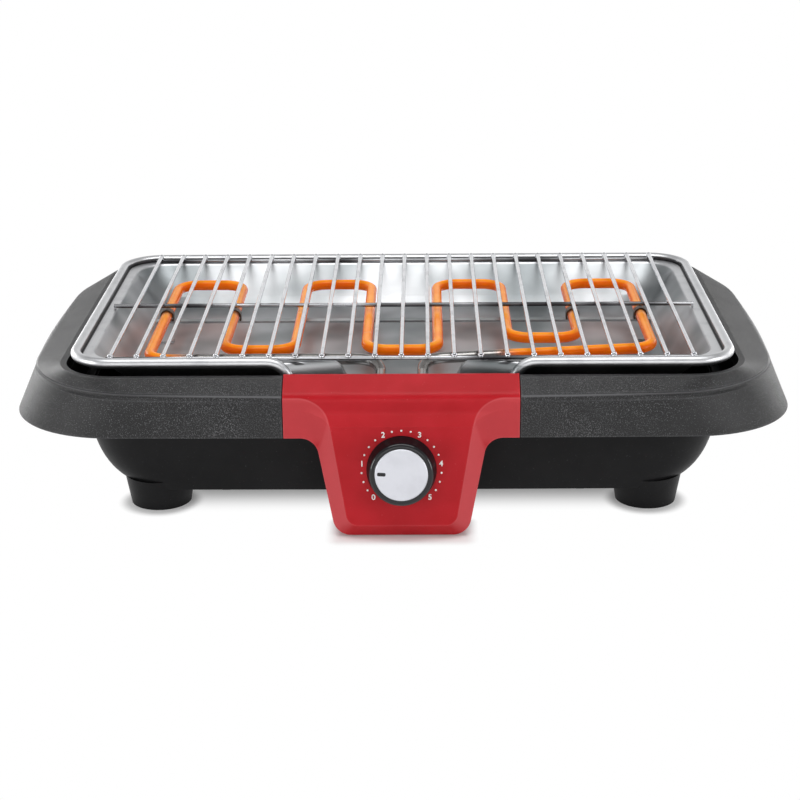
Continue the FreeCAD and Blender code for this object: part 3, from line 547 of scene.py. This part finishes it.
def flank_share(finish):
    """Painted sheen where the panel's flanks turn to the sides, and on its shoulders below the crease.

    The shoulders are a rounded box in front view, with a ridge of painted highlight along its edge, that fades out
    downwards.
    """
    turned = finish.remap(finish.size_of(finish.facing("X")), low=0.1, high=0.5, to_high=FLANK_SHEEN)
    crease = crease_height()
    upright = finish.stretched(finish.place, (1.0, 0.0, 1.0))
    corner = (SHOULDER_X + SHOULDER_ROUND + SHOULDER_HALF[0], 0.0, crease - SHOULDER_ROUND - SHOULDER_HALF[2])
    past = finish.past_box(upright, ORIGIN, corner, SHOULDER_HALF)
    sheen = finish.remap(past, SHOULDER_ROUND, SHOULDER_ROUND - 2 * RIDGE_HIGHLIGHT_WIDTH, to_high=SHOULDER_SHEEN)
    ridge = finish.remap(finish.off(past, SHOULDER_ROUND - RIDGE_HIGHLIGHT_WIDTH), RIDGE_HIGHLIGHT_WIDTH, 0.0, to_high=RIDGE_HIGHLIGHT)
    above = finish.remap(finish.axis("Z"), crease - SHOULDER_FADE[0], crease - SHOULDER_FADE[1])
    shoulder = finish.math("MULTIPLY", finish.math("ADD", sheen, ridge), above)
    return finish.math("MAXIMUM", turned, shoulder)


def panel_wear(finish):
    """Paler edges of the panel, part wear and part painted highlight: strong on the flanks, faint on the brow and the
    top edge.
    """
    crease = crease_height()
    return finish.remap(finish.axis("Z"), crease - WEAR_AND_HIGHLIGHT_FADE[0], crease - WEAR_AND_HIGHLIGHT_FADE[1], FLANK_WEAR_AND_HIGHLIGHT, BROW_WEAR_AND_HIGHLIGHT)


def make_plastics():
    """Finishes of the moulded pieces, the ceramic block and the printed scale."""
    # frame: painted highlight along the crease; its edge wear is tuned to also act as a painted highlight on the edges
    plastic("grained_black", (25, 25, 26), (32, 32, 33), (96, 96, 98), grain=0.0003, depth=0.00012, rough=0.42,
            spread=0.1, wear=0.4, reach=0.0016, level=frame_specks, shine=0.35, turn=0.985, even=0.5,
            painted_sheen=crease_share)
    plastic("satin_black", (22, 22, 23), (28, 28, 29), (52, 52, 54), grain=0.0006, depth=0.00003, rough=0.46,
            spread=0.1, wear=0.25, level=0.7, shine=0.12)
    plastic("foot_rubber", (20, 20, 21), (27, 27, 28), (62, 62, 62), grain=0.0008, depth=0.00004, rough=0.34,
            spread=0.1, wear=0.4, level=0.72, shine=0.35)
    # panel: painted sheen on the flanks and shoulders, painted highlight on the ridge
    plastic("panel_red", (172, 20, 29), (182, 26, 36), (212, 104, 108), grain=0.0004, depth=0.00005, rough=0.34,
            spread=0.1, wear=panel_wear, reach=0.0014, level=0.76, shine=0.18, turn=0.97, even=0.7,
            painted_sheen=flank_share)
    plastic("dial_black", (13, 13, 16), (18, 18, 22), (60, 60, 68), grain=0.0009, depth=0.00001, rough=0.45,
            spread=0.08, wear=0.3, level=0.8, coat=nose_share, shine=0.1)
    plastic("ceramic", (222, 216, 204), (236, 232, 222), (198, 188, 170), grain=0.0007, depth=0.00006, rough=0.5,
            spread=0.1, wear=0.3)
    plastic("scale_white", (236, 234, 232), (246, 245, 243), (224, 214, 212), grain=0.0004, depth=0.00002,
            rough=0.5, spread=0.08, wear=0.2)


def make_metals():
    """Finishes of the tray, the wires, the saddles, the screws and the dial's cap."""
    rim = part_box("drip_tray")[1].z
    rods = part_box("grate_rods")[0].z
    middle, half = flat(*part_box("drip_tray"), trim=RIM_CORNER)
    # tray: painted shade on the walls below the bright rim, and a painted shade line in the fold inside the rolled rim
    metal("tray_steel", (218, 219, 221), (196, 197, 200), lines=(9.0, 700.0, 700.0), rough=0.4, spread=0.1,
          depth=0.000012, shade=Shade((140, 145, 147), rim - RIM_SHADED, rim - RIM_BRIGHT),
          fold_shade=FoldShade(middle, half, RIM_CORNER - RIM_ROLL, (84, 84, 86), rim - FOLD_SHADE_LOW))
    # wires: painted shade on the cross wires and the rods' undersides
    metal("chrome_wire", (214, 215, 218), (188, 189, 193), lines=(500.0, 30.0, 500.0), rough=0.16, spread=0.08,
          depth=0.00001, shade=Shade((58, 58, 60), rods + ROD_SHADED, rods + ROD_BRIGHT))
    metal("clip_steel", (92, 76, 64), (56, 42, 34), lines=(40.0, 600.0, 600.0), rough=0.4, spread=0.15,
          depth=0.00003, wear=0.6)
    metal("screw_steel", (176, 178, 182), (128, 130, 134), lines=(400.0, 400.0, 400.0), rough=0.3, spread=0.12,
          depth=0.00002, wear=0.6)
    metal("dial_silver", (218, 219, 225), (210, 211, 217), lines=(160.0, 900.0, 900.0), rough=0.55, spread=0.06,
          depth=0.000004)


def dress(nodes):
    """Puts the finish of each node's record slot on its object."""
    for part in frame["record"]["subparts"]:
        materials = nodes[part["node"]].data.materials
        materials.clear()
        materials.append(FINISHES[part["material_slot"]])


# Surfaces


def surface_piece(name, points, finish, body):
    """Piece of many like surfaces: points is (copies, round, along, 3), closed round and joined into quads."""
    copies, first, second = points.shape[:3]
    index = np.arange(copies * first * second).reshape(copies, first, second)
    index = np.concatenate([index, index[:, :1]], axis=1)
    quads = np.stack([index[:, :-1, :-1], index[:, 1:, :-1], index[:, 1:, 1:], index[:, :-1, 1:]], axis=-1)
    mesh = bpy.data.meshes.new(name)
    mesh.from_pydata(points.reshape(-1, 3).tolist(), [], quads.reshape(-1, 4).tolist())
    mesh.validate()
    mesh.polygons.foreach_set("use_smooth", np.ones(len(mesh.polygons), bool))
    mesh.materials.append(FINISHES[finish])
    mesh.update()
    piece = new_object(name, mesh)
    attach(piece, body)


def new_object(name, data):
    """Object in the scene, at the origin."""
    made = bpy.data.objects.new(name, data)
    bpy.context.scene.collection.objects.link(made)
    return made


def angles_round(sides):
    """Evenly stepped angles round a full turn, as a column."""
    return np.linspace(0, 2 * np.pi, sides, endpoint=False)[:, None]


# Camera, stage and light


def make_camera():
    """Camera at the photograph's viewing angle, turned by yaw, then pitch, then roll."""
    data = bpy.data.cameras.new("photo_camera")
    data.lens = CAMERA_LENS
    data.sensor_width = CAMERA_SENSOR
    data.clip_start = CAMERA_NEAR
    data.clip_end = CAMERA_FAR
    camera = new_object("photo_camera", data)
    camera.location = CAMERA_PLACE
    turn = Matrix.Rotation(math.radians(-CAMERA_YAW), 3, "Z")
    lean = Matrix.Rotation(math.radians(90.0 - CAMERA_PITCH), 3, "X")
    roll = Matrix.Rotation(math.radians(CAMERA_ROLL), 3, "Z")
    camera.rotation_euler = (turn @ lean @ roll).to_euler()
    bpy.context.scene.camera = camera


def seen_directly(tree):
    """Share of rays that come from the camera, or from a mirror or glass."""
    path = tree.node("LightPath").outputs
    seen = tree.math("ADD", path["Is Camera Ray"], path["Is Glossy Ray"], clamp=True)
    return tree.math("ADD", seen, path["Is Transmission Ray"], clamp=True)


def floor_glow(tree):
    """White share of the floor, with painted shadows: soft dark rims under the tub, round the feet and under the
    panel, where the real shadow shows too.
    """
    place = tree.node("TexCoord").outputs["Object"]
    tub_middle, tub_half = flat(*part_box("lower_tub"), share=TUB_SHADE_SHARE)
    foot_low, foot_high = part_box("foot_front_left")
    feet_middle, feet_corner = flat(foot_low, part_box("foot_rear_right")[1], trim=(foot_high.x - foot_low.x) / 2)
    panel_middle, panel_half = flat(*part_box("control_panel"))
    panel_half = (PANEL_FOOT_HALF, panel_half[1], 0.0)
    tub = tree.remap(tree.past_box(place, tub_middle, ORIGIN, tub_half), 0.0, TUB_SHADE_RIM, TUB_SHADE_WHITE)
    feet = tree.remap(tree.past_box(place, feet_middle, feet_corner, ORIGIN),
                      FOOT_RADIUS, FOOT_RADIUS + FOOT_SHADE_RIM, FOOT_SHADE_WHITE)
    panel = tree.remap(tree.past_box(place, panel_middle, ORIGIN, panel_half),
                       0.0, PANEL_SHADE_RIM, PANEL_SHADE_WHITE)
    return tree.math("MULTIPLY", tree.math("MULTIPLY", tub, feet), panel)


def make_floor():
    """White floor that keeps the shadow."""
    material = bpy.data.materials.new("floor_white")
    material.use_nodes = True
    material.node_tree.nodes.clear()
    tree = Tree(material.node_tree)
    matt = tree.node("BsdfDiffuse")
    matt.inputs["Color"].default_value = (FLOOR_TONE, FLOOR_TONE, FLOOR_TONE, 1.0)
    both = tree.node("MixShader")
    tree.join(tree.math("MULTIPLY", seen_directly(tree), floor_glow(tree)), both.inputs[0])
    tree.join(matt.outputs[0], both.inputs[1])
    tree.join(tree.node("Emission").outputs[0], both.inputs[2])
    tree.join(both.outputs[0], tree.node("OutputMaterial").inputs["Surface"])
    mesh = bpy.data.meshes.new("floor")
    corners = np.array([[-1, -1, 0], [1, -1, 0], [1, 1, 0], [-1, 1, 0]], float) * FLOOR_HALF
    mesh.from_pydata(corners.tolist(), [], [[0, 1, 2, 3]])
    mesh.materials.append(material)
    floor = new_object("floor", mesh)


def make_world():
    """White surround with a dim ceiling and camera side for mirrors."""
    world = bpy.data.worlds.new("studio")
    world.use_nodes = True
    world.node_tree.nodes.clear()
    bpy.context.scene.world = world
    tree = Tree(world.node_tree)
    sky = tree.node("Background")
    sky.inputs["Color"].default_value = (1.0, 1.0, 1.0, 1.0)
    axes = tree.node("SeparateXYZ")
    tree.join(tree.node("TexCoord").outputs["Generated"], axes.inputs[0])
    wall = tree.math("MULTIPLY", tree.remap(axes.outputs["Y"], *CAMERA_TURN, 1.0, CAMERA_SIDE),
                     tree.remap(axes.outputs["Z"], *CEILING_TURN, 1.0, CEILING))
    mirrored = tree.remap(seen_directly(tree), 0.0, 1.0, WORLD_FILL, wall)
    camera_ray = tree.node("LightPath").outputs["Is Camera Ray"]
    tree.join(tree.remap(camera_ray, 0.0, 1.0, mirrored, 1.0), sky.inputs["Strength"])
    tree.join(sky.outputs[0], tree.node("OutputWorld").inputs["Surface"])


def make_lamps():
    """Soft rectangular lamps, each turned to the point that it looks at."""
    for name, place, target, width, height, watts in LAMPS:
        data = bpy.data.lights.new(name, "AREA")
        data.shape = "RECTANGLE"
        data.size = width
        data.size_y = height
        data.energy = watts
        lamp = new_object(name, data)
        lamp.location = place
        lamp.rotation_euler = (Vector(target) - Vector(place)).to_track_quat("-Z", "Y").to_euler()


# Dial scale


def dial_frame():
    """Matrix whose origin is where the dial's axis meets the face, X right, Y up the face, Z out of it."""
    turn = next(joint for joint in frame["joints"] if joint["name"] == "dial_turn")
    out = -Vector(turn["axis"]).normalized()
    right = Vector((1.0, 0.0, 0.0))
    place = Matrix((right, out.cross(right), out)).transposed().to_4x4()
    place.translation = Vector(turn["pos_m"])
    return place


def dial_scale():
    """Numbers and dots of the heat scale, evenly stepped along an arc round the dial."""
    place = dial_frame()
    steps = (SCALE_NUMBERS - 1) * (DOTS_BETWEEN + 1) + 1
    angles = np.radians(np.linspace(SCALE_FIRST, SCALE_LAST, steps))
    spots = np.stack([np.cos(angles), np.sin(angles)], axis=-1) * SCALE_RADIUS
    number_at = np.arange(steps) % (DOTS_BETWEEN + 1) == 0
    for number, spot in enumerate(spots[number_at]):
        scale_number(number, spot, place)
    scale_dots(spots[~number_at], np.array(place))


def scale_number(number, spot, place):
    """One digit, a thin raised print: the font's outline lifted by the ink's thickness."""
    words = bpy.data.curves.new("digit", "FONT")
    words.body = str(number)
    words.size = NUMBER_HEIGHT
    words.extrude = INK
    words.offset = INK
    words.align_x = "CENTER"
    words.align_y = "CENTER"
    holder = new_object("digit", words)
    bpy.context.view_layer.update()
    mesh = bpy.data.meshes.new_from_object(holder.evaluated_get(bpy.context.evaluated_depsgraph_get()))
    bpy.data.objects.remove(holder)
    mesh.name = "scale_number_%d" % number
    mesh.transform(place @ Matrix.Translation((spot[0], spot[1], INK)))
    mesh.materials.clear()
    mesh.materials.append(FINISHES["scale_white"])
    piece = new_object(mesh.name, mesh)
    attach(piece, "control_unit")


def scale_dots(spots, place):
    """Low round dots: circles that shrink from the foot over a rounded shoulder to the middle."""
    around = angles_round(DOT_SIDES)
    radius, height = np.array(DOT_PROFILE).T[:, None] * np.array([DOT_RADIUS, INK])[:, None, None]
    local = np.stack([radius * np.cos(around), radius * np.sin(around), height + 0 * around], axis=-1)
    offset = np.concatenate([spots, np.zeros((len(spots), 1))], axis=1)[:, None, None]
    world = (local[None] + offset) @ place[:3, :3].T + place[:3, 3]
    surface_piece("scale_dots", world, "scale_white", "control_unit")


# Grate


def rod_places():
    """Rod positions across the grate, and the front and back ends and height of the rods."""
    low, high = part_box("grate_rods")
    across = np.linspace(low.x + ROD_RADIUS, high.x - ROD_RADIUS, ROD_COUNT)
    return across, low.y, high.y, (low.z + high.z) / 2


def wire_places():
    """Front-to-back places and height of the cross wires."""
    low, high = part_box("grate_wires")
    return np.linspace(low.y + ROD_RADIUS, high.y - ROD_RADIUS, WIRE_COUNT), (low.z + high.z) / 2


def grate_welds():
    """Weld nuggets: flattened ellipsoids, one where each rod lies on each wire."""
    rods, _, _, rod_z = rod_places()
    wires, wire_z = wire_places()
    around = angles_round(NUGGET_SIDES)
    down = np.linspace(0, np.pi, NUGGET_RINGS)[None]
    flat_round = [np.sin(down) * np.cos(around), np.sin(down) * np.sin(around), np.cos(down) + 0 * around]
    nugget = np.stack(flat_round, axis=-1) * np.array(NUGGET_HALF)
    spots = np.stack(np.meshgrid(rods, wires, indexing="ij"), axis=-1).reshape(-1, 2)
    middle = np.full((len(spots), 1), (rod_z + wire_z) / 2)
    spots = np.concatenate([spots, middle], axis=1)[:, None, None]
    surface_piece("grate_welds", nugget[None] + spots, "chrome_wire", "grate")


def rod_ends():
    """Pinched rod ends: an eye-like bulge with a dimple, a profile turned about each rod."""
    rods, front, back, rod_z = rod_places()
    around = angles_round(ROD_END_SIDES)
    radius, out = np.array(ROD_END_PROFILE).T[:, None]
    radius = radius * ROD_RADIUS
    out = out + 0 * around
    for name, y, sign in (("rod_ends_front", front, -1.0), ("rod_ends_back", back, 1.0)):
        ring = np.stack([radius * np.cos(around) * -sign, out * sign, radius * np.sin(around)], axis=-1)
        spots = np.stack([rods, np.full_like(rods, y), np.full_like(rods, rod_z)], axis=-1)[:, None, None]
        surface_piece(name, ring[None] + spots, "chrome_wire", "grate")


# The whole

make_plastics()
make_metals()
glowing_tube()
make_camera()
make_floor()
make_world()
make_lamps()
dress(frame["nodes"])
dial_scale()
grate_welds()
rod_ends()

bpy.context.scene.view_settings.view_transform = "Standard"
